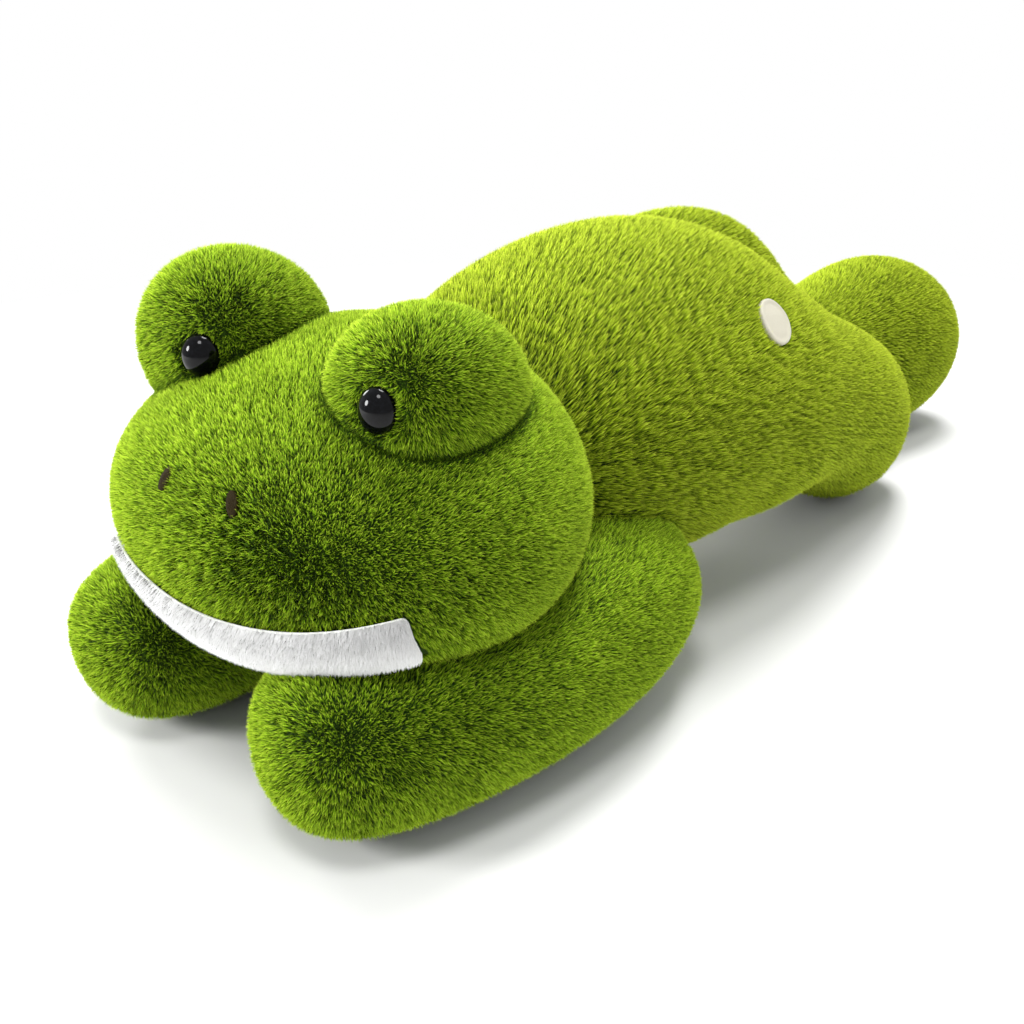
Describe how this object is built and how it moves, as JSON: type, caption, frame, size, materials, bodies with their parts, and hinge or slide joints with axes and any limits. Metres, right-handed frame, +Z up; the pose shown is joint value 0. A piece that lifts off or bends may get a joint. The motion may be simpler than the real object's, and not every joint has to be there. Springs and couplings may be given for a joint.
{
  "type": "plush frog",
  "caption": "Large lying plush frog pillow with a round head on forward arms, raised eye mounds, a white mouth band, a short tucked leg and a stretched leg.",
  "frame": {"origin": "middle of the footprint, on the surface that the frog lies on", "axes": "+Y from the face towards the feet, +Z up, +X towards the frog's own left side"},
  "size_m": [0.258, 0.8111, 0.2332],
  "materials": {
    "plush_green": "short dense green pile",
    "stuffing": "loose polyester fibre",
    "eye_black": "polished",
    "washer_plastic": "as moulded",
    "brown_thread": "satin stitch",
    "plush_white": "short white pile",
    "label_cloth": "smooth woven cloth"
  },
  "bodies": {
    "torso": {"torso_skin": "plush_green", "torso_fill": "stuffing", "round_label": "label_cloth"},
    "head": {"head_skin": "plush_green", "head_fill": "stuffing", "left_eye_mound_skin": "plush_green", "left_eye_mound_fill": "stuffing", "right_eye_mound_skin": "plush_green", "right_eye_mound_fill": "stuffing", "left_eye_bead": "eye_black", "left_eye_washer": "washer_plastic", "left_nostril": "brown_thread", "right_eye_bead": "eye_black", "right_eye_washer": "washer_plastic", "right_nostril": "brown_thread", "mouth_band": "plush_white"},
    "left_arm": {"left_arm_skin": "plush_green", "left_arm_fill": "stuffing"},
    "right_arm": {"right_arm_skin": "plush_green", "right_arm_fill": "stuffing"},
    "left_leg": {"left_leg_skin": "plush_green", "left_leg_fill": "stuffing"},
    "right_leg": {"right_leg_skin": "plush_green", "right_leg_fill": "stuffing"}
  },
  "joints": [
    {"name": "neck_lift", "type": "hinge", "parent": "torso", "child": "head", "pos_m": [0.0057, -0.2278, 0.18], "axis": [-1, 0, 0], "range_deg": [0, 12], "stiffness_Nm_per_rad": 0.4},
    {"name": "left_shoulder", "type": "hinge", "parent": "torso", "child": "left_arm", "pos_m": [0.0627, -0.1038, 0.055], "axis": [0, 0, 1], "range_deg": [0, 20], "stiffness_Nm_per_rad": 0.4},
    {"name": "right_shoulder", "type": "hinge", "parent": "torso", "child": "right_arm", "pos_m": [-0.0573, -0.1038, 0.055], "axis": [0, 0, -1], "range_deg": [0, 20], "stiffness_Nm_per_rad": 0.4},
    {"name": "left_hip", "type": "hinge", "parent": "torso", "child": "left_leg", "pos_m": [0.1027, -0.0588, 0.08], "axis": [0, 0, -1], "range_deg": [0, 15], "stiffness_Nm_per_rad": 0.5},
    {"name": "right_hip", "type": "hinge", "parent": "torso", "child": "right_leg", "pos_m": [-0.0973, -0.0438, 0.095], "axis": [0, 0, 1], "range_deg": [0, 15], "stiffness_Nm_per_rad": 0.5}
  ]
}
